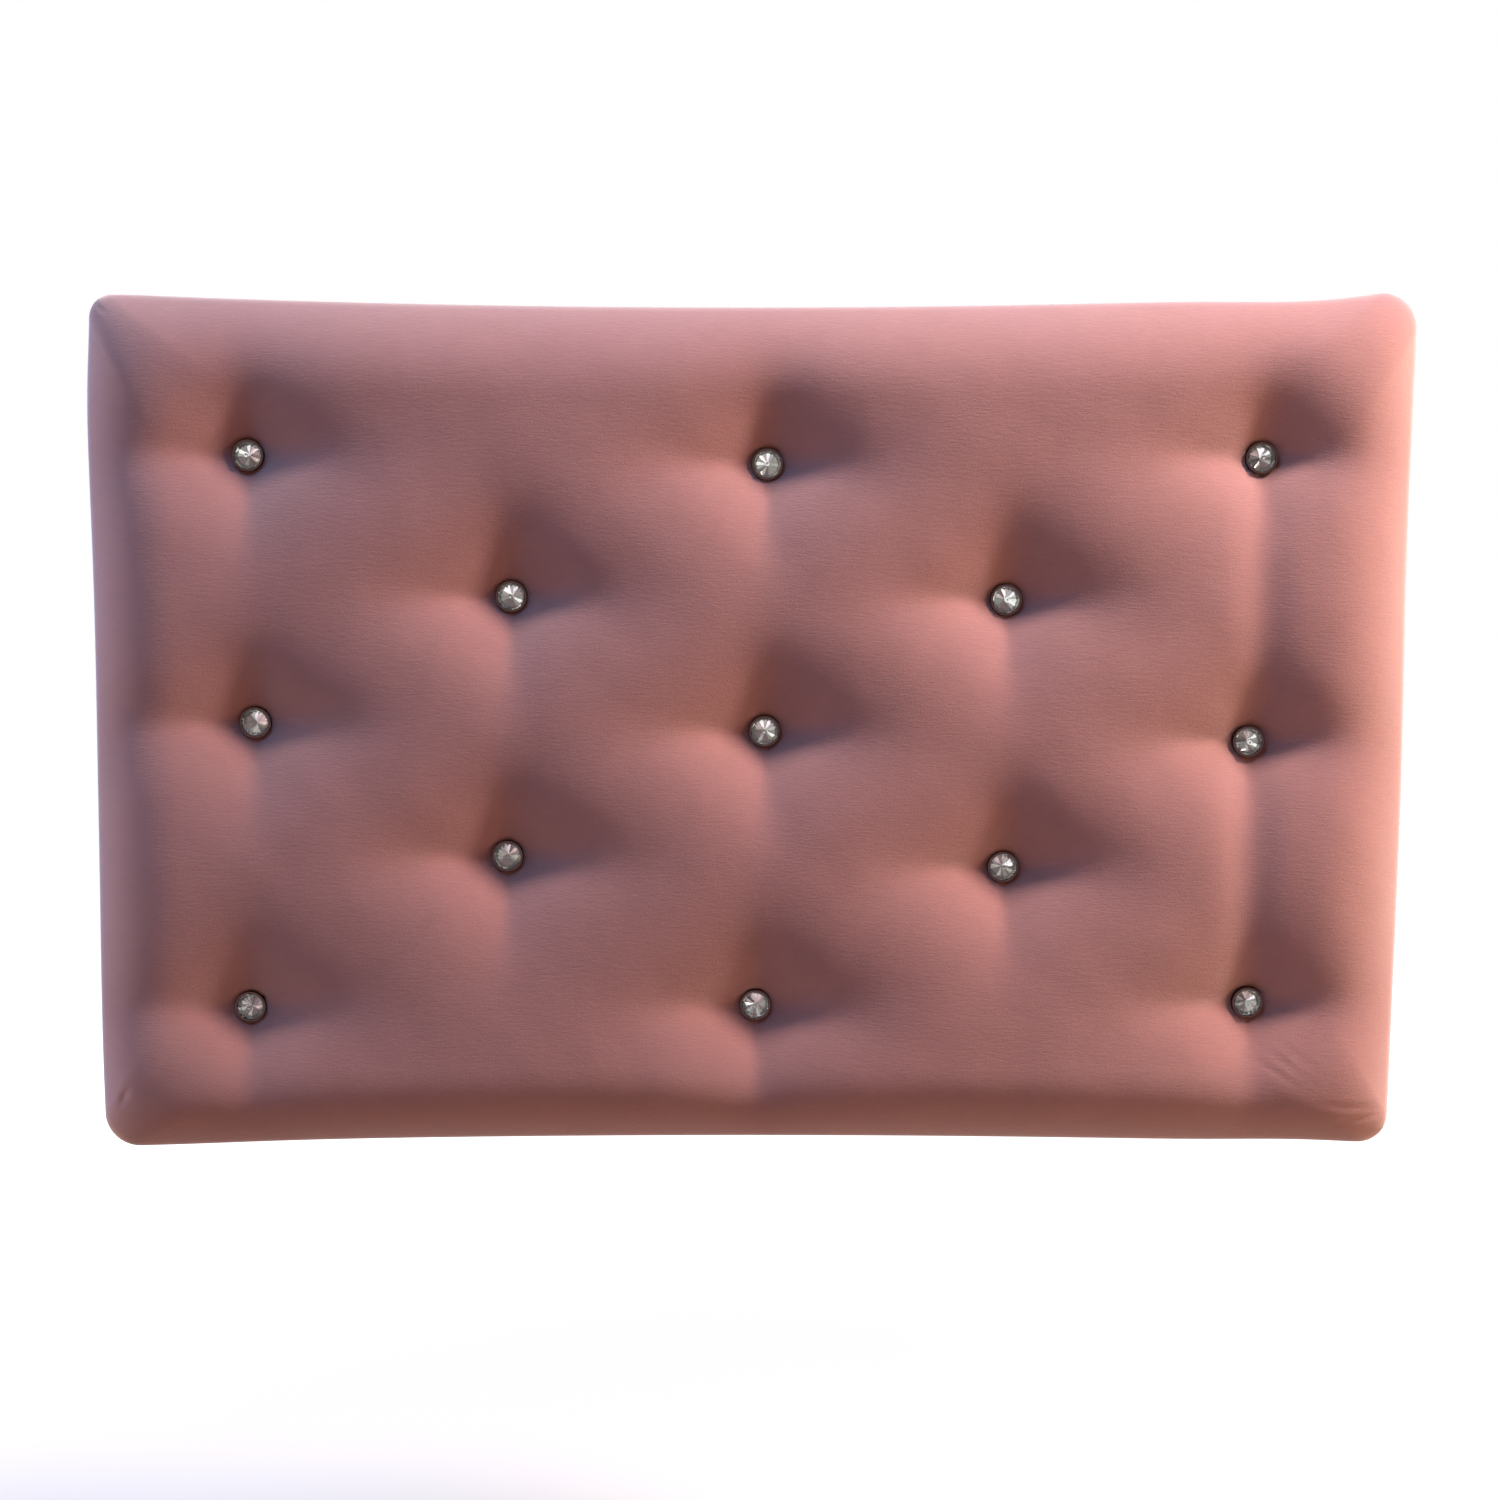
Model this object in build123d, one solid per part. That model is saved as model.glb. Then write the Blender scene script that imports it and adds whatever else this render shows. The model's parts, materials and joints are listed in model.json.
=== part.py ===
"""Deep-tufted velvet headboard panel for a single bed, in millimetres.

X runs along the width, Z is up and the tufted front faces -Y. The origin is the centre of the
bolt pattern on the back face of the board, where two bed struts hold the panel up.

The panel is upholstered in layers, from the back: lining cloth, the folded-over edge of the
velvet, board, foam, wadding, velvet. Crystal buttons are pulled into the pad by twine that runs
through the board and lies flat on its back.
"""

import math
import os

from build123d import *

# Whole panel
panel_w = 900.0
panel_h = 588.0
corner_r = 26.0  # seen from the front, at the widest outline
crown_corner_r = 40.0  # the same corner where the roll meets the flat front
top_draw = 8.6  # the cloth draws the middle of the top edge down by this much
bottom_draw = 5.8  # and the middle of the bottom edge up by this much
roll_in = 42.0  # the rolled front edge, measured across the face
roll_deep = 34.0  # the same roll, measured front to back
roll_bands = 4  # straight steps that stand for the curve of the roll

# Layers
velvet_t = 1.6
wadding_t = 5.0
foam_t = 45.0
board_t = 15.0
lining_t = 0.6
edge_pad = 5.0  # wadding between the board's edge and the velvet, where it is thinnest
board_corner_r = 15.0
return_w = 45.0  # velvet folded over onto the back of the board
fold = 1.5  # bevel of the velvet where it turns onto the back
lining_margin = 14.0  # velvet left showing round the lining

# Tufts. Each one pulls the pad down in a soft star: its valleys run up, down and sideways.
valley_reach = 122.0  # from a button, along a valley, to where the pad is flat again
crown_reach = 84.0  # the same towards the crowns, which lie on the diagonals
pit_deep = 32.0
floor_r = 11.6  # flat place under a button
pit_sides = 16  # directions in which the fall of the pad is worked out
pit_bands = 3  # straight steps that stand for the curve of the fall
well_sides = 8  # the same two for the plainer well that is cut out of the foam
well_bands = 1
tuft_hole_r = 4.0  # drilled through the board
# Share of the panel's width from its middle, and of its height from its bottom edge.
tuft_shares = [
    (-0.376, 0.816), (0.015, 0.806), (0.387, 0.813),
    (-0.179, 0.654), (0.196, 0.650),
    (-0.375, 0.507), (0.013, 0.497), (0.382, 0.485),
    (-0.184, 0.350), (0.196, 0.337),
    (-0.384, 0.170), (0.006, 0.172), (0.386, 0.175),
]  # fmt: skip

# Crystal buttons
crystal_r = 9.05
crystal_crown = 4.2  # point of the crystal above its girdle
crystal_girdle = 0.7
crystal_facets = 12  # long facets round the point
crystal_ring_share = 0.62  # where the long facets are widest, as a share of the radius
crystal_gap = 0.1  # between a crystal and its cup
cup_wall = 1.7
cup_floor = 0.9
cup_h = 5.6
cup_bezel = 0.9  # fall of the polished rim from its inner to its outer edge
cup_sides = 16  # the small round cups repeat, so they are turned with flat sides

# Wire eye under each cup, and the twine through it
eye_w = 8.0
eye_deep = 6.0
eye_wire = 1.4
eye_bend = 1.6  # corner cut off where the wire turns
twine_t = 1.5
twine_gap = 0.25  # between the twine and the eye's wire
tail_len = 24.0  # twine laid flat on the back of the board
slit_gap = 0.4  # slit in the pad, round the eye and the twine

# Strut fixing
mount_h = 200.0  # centre of the bolt pattern above the bottom edge
bolt_span_x = 510.0
bolt_span_z = 180.0
nut_bore_r = 3.4
nut_barrel_r = 5.0
nut_barrel = 13.0
nut_flange_r = 11.0
nut_flange_t = 1.6
nut_gap = 0.15  # round the barrel and the flange
bolt_clear_r = 6.0  # hole in the lining at each bolt
small_sides = 12  # hidden small rounds are drawn with flat sides, which keeps the model light

overrun = 5.0  # how far a cutting solid runs past what it cuts

# Planes worked out from the sizes
bottom_z = -mount_h
top_z = panel_h - mount_h
board_front_y = -board_t
front_y = -(board_t + foam_t + wadding_t + velvet_t)
roll_y = front_y + roll_deep
floor_y = front_y + pit_deep
return_y = velvet_t
back_y = velvet_t + lining_t

tufts = [(across * panel_w, bottom_z + up * panel_h) for across, up in tuft_shares]
bolts = [
    (side * bolt_span_x / 2, level * bolt_span_z / 2)
    for side in (-1, 1)
    for level in (-1, 1)
]

# Turns a solid drawn with +Z pointing out of the pad so that it points to the front.
outward = Rot(90, 0, 0)
hanging = (Align.CENTER, Align.CENTER, Align.MAX)


def at_depth(y, places):
    """Places on the plane at depth y, each with its +Z to the front."""
    return [Pos(x, y, z) * outward for x, z in places]


def polyhedron(facets):
    """Closed solid from lists of the corners of its flat facets."""
    return Solid(Shell([Face(Wire.make_polygon(points, close=True)) for points in facets]))


def outline(y, inset, r):
    """The panel's outline at depth y, drawn in by inset, with corners of radius r."""
    left, right = -panel_w / 2 + inset, panel_w / 2 - inset
    low, high = bottom_z + inset, top_z - inset
    cut = r * (1 - math.cos(math.radians(45)))
    with BuildSketch(Plane.XZ.offset(-y)) as sketch:
        with BuildLine():
            ThreePointArc((left + r, low), (0, low + bottom_draw), (right - r, low))
            ThreePointArc((right - r, low), (right - cut, low + cut), (right, low + r))
            Line((right, low + r), (right, high - r))
            ThreePointArc((right, high - r), (right - cut, high - cut), (right - r, high))
            ThreePointArc((right - r, high), (0, high - top_draw), (left + r, high))
            ThreePointArc((left + r, high), (left + cut, high - cut), (left, high - r))
            Line((left, high - r), (left, low + r))
            ThreePointArc((left, low + r), (left + cut, low + cut), (left + r, low))
        make_face()
    return sketch.sketch.face()


def slab(face, thickness):
    """A flat layer that starts at the outline and grows towards the back."""
    return extrude(face, thickness, dir=(0, 1, 0))


def pad_form(skin, start_y):
    """The untufted pad, skin millimetres under its surface: straight sides, then the roll."""
    sections = []
    for band in range(roll_bands + 1):
        turn = math.pi / 2 * band / roll_bands
        inset = roll_in - (roll_in - skin) * math.cos(turn)
        y = roll_y - (roll_deep - skin) * math.sin(turn)
        r = corner_r - skin + (crown_corner_r - corner_r) * (1 - math.cos(turn))
        sections.append(outline(y, inset, r))
    sides = slab(sections[0], start_y - roll_y)
    return sides + loft(sections, ruled=True)


def fall(reach, skin, share):
    """Radius and height of a point on the fall of a tuft, skin millimetres under the surface.

    The fall is an arc. It leaves the flat front level, at the reach, and gets steeper up to
    the floor of the tuft. share runs from 0 at the reach to 1 at the floor.
    """
    run = reach - floor_r
    bend = (run * run + pit_deep * pit_deep) / (2 * pit_deep)
    under = bend - skin
    turn = math.acos((under - pit_deep) / under) * share
    return reach - under * math.sin(turn), under * math.cos(turn) - bend


def tuft_star(skin, sides, bands):
    """What one tuft takes out of the pad, with its +Z out of the pad and the front at zero.

    It reaches furthest along its four valleys and least towards its four crowns.
    """
    rings = []
    for band in range(bands + 1):
        points = []
        for side in range(sides):
            angle = 2 * math.pi * side / sides
            reach = crown_reach + (valley_reach - crown_reach) * math.cos(2 * angle) ** 2
            r, height = fall(reach, skin, band / bands)
            points.append(Vector(r * math.cos(angle), r * math.sin(angle), height))
        rings.append(points)
    facets = [rings[0], rings[-1]]
    for wide, narrow in zip(rings, rings[1:]):
        for side in range(sides):
            after = (side + 1) % sides
            facets.append([wide[side], wide[after], narrow[side]])
            facets.append([wide[after], narrow[after], narrow[side]])
    return polyhedron(facets)


def tuft_slits():
    """Slits through the pad under the buttons, for their eyes and twine."""
    wide = eye_w + 2 * slit_gap
    high = eye_wire + 2 * (twine_gap + twine_t + slit_gap)
    slit = Box(wide, high, board_front_y - floor_y, align=hanging)
    return [place * slit for place in at_depth(floor_y, tufts)]


def tufted(form, star):
    """A pad form with the star taken out of it at every tuft."""
    return form - [place * star for place in at_depth(front_y, tufts)]


def board_blank():
    """The board before it is drilled. Its outline is straight, inside the drawn-in pad."""
    rim = velvet_t + edge_pad
    low, high = bottom_z + bottom_draw + rim, top_z - top_draw - rim
    with BuildSketch(Plane.XZ.offset(-board_front_y)) as sketch:
        with Locations((0, (low + high) / 2)):
            RectangleRounded(panel_w - 2 * rim, high - low, board_corner_r)
    return slab(sketch.sketch, board_t)


def make_velvet_cover(inner):
    """Velvet drawn over the front and the sides, and folded onto the back of the board."""
    outer = tufted(pad_form(0, return_y - fold), tuft_star(0, pit_sides, pit_bands))
    bevel = [outline(return_y - fold, 0, corner_r), outline(return_y, fold, corner_r - fold)]
    opening = slab(outline(0, return_w, corner_r), return_y + overrun)
    return outer + loft(bevel, ruled=True) - inner - opening - tuft_slits()


def make_wadding(inner, foam):
    """Polyester wadding between the foam and the velvet, wrapped round the board's edge."""
    return inner - foam - board_blank() - tuft_slits()


def make_foam():
    """Foam slab, with a well cut out of it at every tuft."""
    under = velvet_t + wadding_t
    return tufted(pad_form(under, board_front_y), tuft_star(under, well_sides, well_bands))


def small_round(r, length):
    """Small upright round with flat sides, its top at zero."""
    return extrude(RegularPolygon(r, small_sides), -length)


def tee_nut():
    """Flanged nut driven into the board from the front, its bore open at the back."""
    whole = nut_flange_t + nut_barrel
    body = small_round(nut_flange_r, nut_flange_t) + small_round(nut_barrel_r, whole)
    return body - Cylinder(nut_bore_r, whole, align=hanging)


def nut_pocket():
    """What the board loses to one tee nut."""
    seat = small_round(nut_flange_r + nut_gap, nut_flange_t)
    return [seat, small_round(nut_barrel_r + nut_gap, board_t)]


def make_board():
    """Board with the drilled tuft holes and the pockets of the tee nuts."""
    holes = [place * small_round(tuft_hole_r, board_t) for place in at_depth(board_front_y, tufts)]
    for place in at_depth(board_front_y, bolts):
        holes += [place * cut for cut in nut_pocket()]
    return board_blank() - holes


def make_lining():
    """Thin cloth that closes the back, with a hole at each bolt."""
    cloth = slab(outline(return_y, lining_margin, corner_r), lining_t)
    punch = small_round(bolt_clear_r, lining_t)
    return cloth - [place * punch for place in at_depth(return_y, bolts)]


def ring(r, height, count):
    """Points evenly spaced on a level circle."""
    turns = [2 * math.pi * i / count for i in range(count)]
    return [Vector(r * math.cos(a), r * math.sin(a), height) for a in turns]


def make_cup():
    """Metal cup of a button, with a bevelled and polished rim round the crystal."""
    inner_r = (crystal_r + crystal_gap) / math.cos(math.pi / cup_sides)
    outer_r = inner_r + cup_wall
    rings = [
        ring(outer_r, 0, cup_sides),
        ring(outer_r, cup_h - cup_bezel, cup_sides),
        ring(inner_r, cup_h, cup_sides),
        ring(inner_r, cup_floor, cup_sides),
    ]
    facets = [rings[0], rings[-1]]
    for one, other in zip(rings, rings[1:]):
        for i in range(cup_sides):
            after = (i + 1) % cup_sides
            facets.append([one[i], one[after], other[after], other[i]])
    return polyhedron(facets)


def make_crystal():
    """Round crystal, pointed on both sides, with its girdle level with the rim of the cup.

    Each long facet is a kite. It is flat because its two side corners lie level with the line
    from the crystal's point to the girdle.
    """
    n = crystal_facets
    point = Vector(0, 0, cup_h + crystal_crown)
    drop = crystal_crown * crystal_ring_share * math.cos(math.pi / n)
    wide = ring(crystal_r * crystal_ring_share, point.Z - drop, n)
    top = ring(crystal_r, cup_h, 2 * n)
    low = ring(crystal_r, cup_h - crystal_girdle, 2 * n)
    tail = Vector(0, 0, cup_floor)
    facets = []
    for i in range(n):
        facets.append([point, wide[i], top[2 * i + 1], wide[(i + 1) % n]])
        facets.append([wide[i], top[2 * i], top[2 * i + 1]])
        facets.append([wide[i], top[2 * i - 1], top[2 * i]])
    for i in range(2 * n):
        after = (i + 1) % (2 * n)
        facets.append([top[i], low[i], low[after], top[after]])
        facets.append([low[i], tail, low[after]])
    return polyhedron(facets)


def make_eye():
    """Wire loop under a button's cup, which the twine passes through."""
    half, inner = eye_w / 2, eye_w / 2 - eye_wire
    rest = -eye_deep + eye_wire
    loop = [
        (-half, 0), (-half, -eye_deep + eye_bend), (-half + eye_bend, -eye_deep),
        (half - eye_bend, -eye_deep), (half, -eye_deep + eye_bend), (half, 0),
        (inner, 0), (inner, rest), (-inner, rest), (-inner, 0),
    ]  # fmt: skip
    with BuildSketch(Plane.XZ) as sketch:
        Polygon(*loop, align=None)
    return extrude(sketch.sketch, eye_wire / 2, both=True)


def make_twine():
    """Doubled twine: over the eye's wire, down through the pad and the board, then flat."""
    near = eye_wire / 2 + twine_gap
    far = near + twine_t
    tip = far + tail_len
    rest = -eye_deep + eye_wire
    board_back = floor_y  # height of the board's back face, counted from the floor of the tuft
    end = board_back - twine_t
    path = [
        (-far, rest + twine_t), (far, rest + twine_t), (far, board_back), (tip, board_back),
        (tip, end), (near, end), (near, rest), (-near, rest), (-near, end), (-tip, end),
        (-tip, board_back), (-far, board_back),
    ]  # fmt: skip
    with BuildSketch(Plane.YZ) as sketch:
        Polygon(*path, align=None)
    return extrude(sketch.sketch, twine_t / 2, both=True)


def save(shape, node):
    """Write one node's STEP file."""
    export_step(shape, f"parts/{node}.step")


def group(solid, places):
    """Separate copies of one solid."""
    return Compound(children=[place * solid for place in places])


def main():
    os.makedirs("parts", exist_ok=True)
    inner = tufted(pad_form(velvet_t, 0), tuft_star(velvet_t, pit_sides, pit_bands))
    foam = make_foam()
    save(make_velvet_cover(inner), "velvet_cover")
    save(make_wadding(inner, foam), "wadding_wrap")
    save(foam - tuft_slits(), "foam_slab")
    save(make_board(), "back_board")
    save(make_lining(), "back_lining")
    save(group(tee_nut(), at_depth(board_front_y, bolts)), "tee_nuts")
    seats = at_depth(floor_y, tufts)
    save(group(make_cup(), seats), "button_cups")
    save(group(make_eye(), seats), "button_eyes")
    crystal, twine = make_crystal(), make_twine()
    for number, seat in enumerate(seats, 1):
        save(seat * crystal, f"crystal_stone_{number:02}")
        save(seat * twine, f"tuft_twine_{number:02}")


main()
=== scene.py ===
import json
import math

import bpy
import numpy as np
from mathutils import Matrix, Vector


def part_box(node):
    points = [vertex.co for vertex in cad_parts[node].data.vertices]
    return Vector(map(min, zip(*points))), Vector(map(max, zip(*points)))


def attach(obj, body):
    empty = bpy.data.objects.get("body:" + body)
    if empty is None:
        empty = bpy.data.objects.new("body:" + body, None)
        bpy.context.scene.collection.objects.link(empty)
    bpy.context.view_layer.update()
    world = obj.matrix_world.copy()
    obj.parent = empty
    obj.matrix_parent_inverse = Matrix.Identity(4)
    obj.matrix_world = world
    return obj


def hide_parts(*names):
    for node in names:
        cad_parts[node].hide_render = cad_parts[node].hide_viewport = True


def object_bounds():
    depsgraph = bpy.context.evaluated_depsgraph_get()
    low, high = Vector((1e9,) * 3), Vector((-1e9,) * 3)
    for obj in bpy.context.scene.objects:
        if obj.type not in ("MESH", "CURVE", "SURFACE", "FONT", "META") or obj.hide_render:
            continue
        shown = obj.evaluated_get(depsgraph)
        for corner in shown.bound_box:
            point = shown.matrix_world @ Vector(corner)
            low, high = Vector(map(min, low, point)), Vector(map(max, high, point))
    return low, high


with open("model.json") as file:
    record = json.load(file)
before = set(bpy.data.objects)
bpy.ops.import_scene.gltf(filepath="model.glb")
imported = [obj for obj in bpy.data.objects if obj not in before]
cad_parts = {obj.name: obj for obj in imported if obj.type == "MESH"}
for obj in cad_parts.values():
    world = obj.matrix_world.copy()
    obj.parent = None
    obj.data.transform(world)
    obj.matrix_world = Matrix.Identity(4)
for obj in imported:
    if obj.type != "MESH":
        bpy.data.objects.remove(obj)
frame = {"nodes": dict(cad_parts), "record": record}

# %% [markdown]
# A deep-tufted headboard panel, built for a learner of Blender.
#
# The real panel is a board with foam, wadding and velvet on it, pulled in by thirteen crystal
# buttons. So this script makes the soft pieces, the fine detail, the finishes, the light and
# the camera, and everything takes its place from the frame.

mm = 0.001
cad_low, cad_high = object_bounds()
cover_low, cover_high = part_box("velvet_cover")
board_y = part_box("back_board")[0].y
lining_low, lining_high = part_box("back_lining")
crystals = sorted(name for name in frame["nodes"] if name.startswith("crystal_stone_"))
stone_boxes = [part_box(name) for name in crystals]
buttons = [(low + high) / 2 for low, high in stone_boxes]
panel_w = cover_high.x - cover_low.x
panel_h = cover_high.z - cover_low.z
mid_z = (cover_high.z + cover_low.z) / 2
front_y = cover_low.y
print("panel", round(panel_w, 3), "by", round(panel_h, 3), "with", len(buttons), "buttons")

# %% [markdown]
# The camera comes first, because every comparison with the photograph depends on it. It stands
# straight in front of the panel, a little above its middle, and looks slightly down.

# %% Camera
camera_place = Vector((1.7, -1462.8, 222.8)) * mm
camera_aim = Vector((1.7, -32.2, 78.6)) * mm
camera_data = bpy.data.cameras.new("camera")
camera_data.lens = 50
camera_data.sensor_width = 36
camera = bpy.data.objects.new("camera", camera_data)
camera.location = camera_place
camera.rotation_euler = (camera_aim - camera_place).to_track_quat("-Z", "Y").to_euler()
bpy.context.scene.collection.objects.link(camera)
bpy.context.scene.camera = camera
print("camera stands", round(-camera_place.y, 3), "m in front of the board")

# %% [markdown]
# Materials are made of nodes. A few small helpers keep their making readable: one adds a node
# and fills its inputs, with plain values or with links from other nodes, one does so for the
# many math nodes, and others start a node group with named sockets, or a material with its
# shader.

# %% Helpers for nodes
def add_node(tree, kind, inputs=None, **settings):
    """Adds a node. A socket given as an input is linked, and anything else is its value."""
    made = tree.nodes.new(kind)
    for name, value in settings.items():
        setattr(made, name, value)
    for name, value in (inputs or {}).items():
        if isinstance(value, bpy.types.NodeSocket):
            tree.links.new(value, made.inputs[name])
        else:
            made.inputs[name].default_value = value
    return made


def compute(tree, operation, *values, clamp=False):
    """Adds a math node and gives its result. Each value is a number or a socket."""
    inputs = dict(enumerate(values))
    return add_node(tree, "ShaderNodeMath", inputs, operation=operation, use_clamp=clamp).outputs[0]


def new_group(name, inputs, outputs):
    """A shader node group from inputs, as names with values, and from names of outputs.

    It gives the group, its object coordinates, its input values and its output sockets.
    """
    group = bpy.data.node_groups.new(name, "ShaderNodeTree")
    for socket, value in inputs:
        made = group.interface.new_socket(socket, in_out="INPUT", socket_type="NodeSocketFloat")
        made.default_value = value
    for socket in outputs:
        group.interface.new_socket(socket, in_out="OUTPUT", socket_type="NodeSocketFloat")
    place = add_node(group, "ShaderNodeTexCoord").outputs["Object"]
    values = add_node(group, "NodeGroupInput").outputs
    return group, place, values, add_node(group, "NodeGroupOutput").inputs


def use_group(tree, group, **values):
    """Places a group in a material, with its own values."""
    made = tree.nodes.new("ShaderNodeGroup")
    made.node_tree = group
    for name, value in values.items():
        made.inputs[name].default_value = value
    return made.outputs


def new_material(name):
    """An empty material, as itself, its tree and its Principled BSDF, linked to the output."""
    material = bpy.data.materials.new(name)
    material.use_nodes = True
    tree = material.node_tree
    tree.nodes.clear()
    shader = add_node(tree, "ShaderNodeBsdfPrincipled")
    add_node(tree, "ShaderNodeOutputMaterial", {"Surface": shader.outputs["BSDF"]})
    return material, tree, shader


def blend_colours(tree, factor, low, high):
    """Colour that goes from low to high with factor. Each is a colour or a socket."""
    mix = add_node(tree, "ShaderNodeMix", {"Factor": factor}, data_type="RGBA")
    for socket, colour in zip([s for s in mix.inputs if s.type == "RGBA"], (low, high)):
        if isinstance(colour, bpy.types.NodeSocket):
            tree.links.new(colour, socket)
        else:
            socket.default_value = (*colour, 1)
    return next(s for s in mix.outputs if s.type == "RGBA")


def set_colour(tree, shader, factor, low, high):
    """Gives the shader a colour that goes from low to high with factor."""
    tree.links.new(blend_colours(tree, factor, low, high), shader.inputs["Base Color"])


def set_roughness(tree, shader, mask, spread, least):
    """Gives the shader its least roughness, and up to spread more where the mask is bright."""
    tree.links.new(compute(tree, "MULTIPLY_ADD", mask, spread, least), shader.inputs["Roughness"])


def set_inputs(shader, **values):
    """Sets constants straight on a shader's own sockets. An underscore stands for a space."""
    for name, value in values.items():
        shader.inputs[name.replace("_", " ")].default_value = value


def add_bump(tree, shader, height, distance, strength):
    """Leads a height into the shader's normal."""
    bump = add_node(tree, "ShaderNodeBump", {
        "Height": height, "Distance": distance, "Strength": strength,
    })
    tree.links.new(bump.outputs["Normal"], shader.inputs["Normal"])


# %% [markdown]
# Three effects are used by several materials, so each is a node group: a pile or fibre grain
# that can be stretched along the cloth, a soft mottle for uneven colour, and a tarnish mask
# for metal. All of them read object coordinates, which are metres here, so a size in a group
# is a real size, and the grain stays put on the object from every side. The metals of this
# panel differ only in their colour and in how far they are worn, so one function makes each
# of them, with the tarnish group in it.

# %% Group: fibre grain
def make_grain_group():
    inputs = [("Along", 5 * mm), ("Across", 1 * mm), ("Detail", 2.0)]
    group, place, values, out = new_group("fibre_grain", inputs, ["Tone", "Height"])
    size = add_node(group, "ShaderNodeCombineXYZ", {
        "X": values["Along"], "Y": values["Along"], "Z": values["Across"],
    })
    stretched = add_node(group, "ShaderNodeVectorMath", {
        0: place, 1: size.outputs[0],
    }, operation="DIVIDE")
    noise = add_node(group, "ShaderNodeTexNoise", {
        "Vector": stretched.outputs[0], "Scale": 1.0, "Detail": values["Detail"], "Roughness": 0.6,
    })
    spread = add_node(group, "ShaderNodeMapRange", {
        "Value": noise.outputs[0], "From Min": 0.3, "From Max": 0.7,
    })
    group.links.new(spread.outputs[0], out["Tone"])
    group.links.new(noise.outputs[0], out["Height"])
    return group


grain_group = make_grain_group()


# %% Group: soft mottle
def make_mottle_group():
    inputs = [("Size", 60 * mm), ("Contrast", 1.0)]
    group, place, values, out = new_group("soft_mottle", inputs, ["Tone"])
    noise = add_node(group, "ShaderNodeTexNoise", {
        "Vector": place, "Scale": compute(group, "DIVIDE", 1.0, values["Size"]),
        "Detail": 3.0, "Roughness": 0.55, "Distortion": 0.4,
    })
    centred = compute(group, "SUBTRACT", noise.outputs[0], 0.5)
    tone = compute(group, "MULTIPLY_ADD", centred, values["Contrast"], 0.5, clamp=True)
    group.links.new(tone, out["Tone"])
    return group


mottle_group = make_mottle_group()


# %% Group: tarnish
def make_tarnish_group():
    inputs = [("Size", 2 * mm), ("Amount", 0.3)]
    group, place, values, out = new_group("tarnish", inputs, ["Mask"])
    noise = add_node(group, "ShaderNodeTexNoise", {
        "Vector": place, "Scale": compute(group, "DIVIDE", 1.0, values["Size"]),
        "Detail": 5.0, "Roughness": 0.65,
    })
    spread = add_node(group, "ShaderNodeMapRange", {
        "Value": noise.outputs[0], "From Max": 0.8,
        "From Min": compute(group, "SUBTRACT", 0.75, values["Amount"]),
    })
    group.links.new(spread.outputs[0], out["Mask"])
    return group


tarnish_group = make_tarnish_group()
print("node groups:", [g.name for g in bpy.data.node_groups])


# %% Metal with tarnish
def make_metal(name, light, dark, size, amount, spread, least):
    """A metal whose tarnish darkens it and adds up to spread to its least roughness."""
    material, tree, shader = new_material(name)
    age = use_group(tree, tarnish_group, Size=size, Amount=amount)
    set_colour(tree, shader, age["Mask"], light, dark)
    set_roughness(tree, shader, age["Mask"], spread, least)
    set_inputs(shader, Metallic=1.0)
    return material


# %% [markdown]
# The pad's form is worked out, not sculpted, so that the velvet, the wadding and the foam all
# share it. Cloth under tension between buttons makes straight valleys along its threads, up,
# down and to both sides of each button, with a soft crown in each quarter between them. The
# depth of one tuft is an exponential fall. Measured along the threads it is distance, and on
# the diagonal it is the sum of both ways, which is what makes the valleys sharp near a button.
# They soften with distance, and on the photographed panel the valleys above and to the right
# of a button are rounder than the others. Round the cup the cloth closes up again, a few
# millimetres above the pit's floor. A cloth simulation could find such folds too, but three
# layers couldn't share them, and no single fold could be set to what the photograph shows.

# %% Tuft field
pit_deep = 32 * mm
rim_r = 10.95 * mm
fall_across = 58 * mm
fall_up = 46 * mm
fall_power = 1.35
valley_soft = 0.10
valley_fade = 0.16
valley_far = 80 * mm
soft_above = 0.35
soft_right = 0.15
round_reach = 9 * mm
round_soft = 3.0
funnel_share = 0.12
funnel_reach = 30 * mm
funnel_power = 1.5
swell = 6.5 * mm
rim_rise = 3.2 * mm
rim_fall = 2.5 * mm
rim_dip = 3 * rim_rise
nearly_zero = 1e-9


def swelling(x, z):
    """How far the foam swells at a place: 1 in the middle of the panel, 0 at its edges."""
    across, up = 1 - (x / (panel_w / 2)) ** 2, 1 - ((z - mid_z) / (panel_h / 2)) ** 2
    return np.clip(across, 0, 1) * np.clip(up, 0, 1)


def tuft_fall(dx, dz):
    """Share of a tuft's depth at a place dx and dz from its button."""
    r = np.hypot(dx, dz) + nearly_zero
    soft = valley_soft + valley_fade * (r / valley_far) ** 2
    soft = soft + soft_above * np.clip(dz / r, 0, 1) ** 2 + soft_right * np.clip(dx / r, 0, 1) ** 2
    soft = np.minimum(soft, 1) + round_soft * np.exp(-((r / round_reach) ** 2))
    ways = [np.sqrt(d * d + (soft * r) ** 2) - soft * r for d in (dx, dz)]
    reach = (ways[0] / fall_across + ways[1] / fall_up) / (np.sqrt(1 + soft * soft) - soft)
    funnel = np.exp(-((r / funnel_reach) ** funnel_power))
    return (1 - funnel_share) * np.exp(-(reach**fall_power)) + funnel_share * funnel


def tuft_amounts():
    """How much each tuft adds, so that together they reach the pit's floor at every button."""
    gap = rim_r * math.sqrt(0.5)
    share = np.array([
        [tuft_fall(a.x - b.x, a.z - b.z) if a is not b else tuft_fall(gap, gap) for b in buttons]
        for a in buttons
    ])
    wanted = [pit_deep - rim_rise - swell * (1 - swelling(b.x, b.z)) for b in buttons]
    return np.linalg.solve(share, np.array(wanted))


amounts = tuft_amounts()


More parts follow.
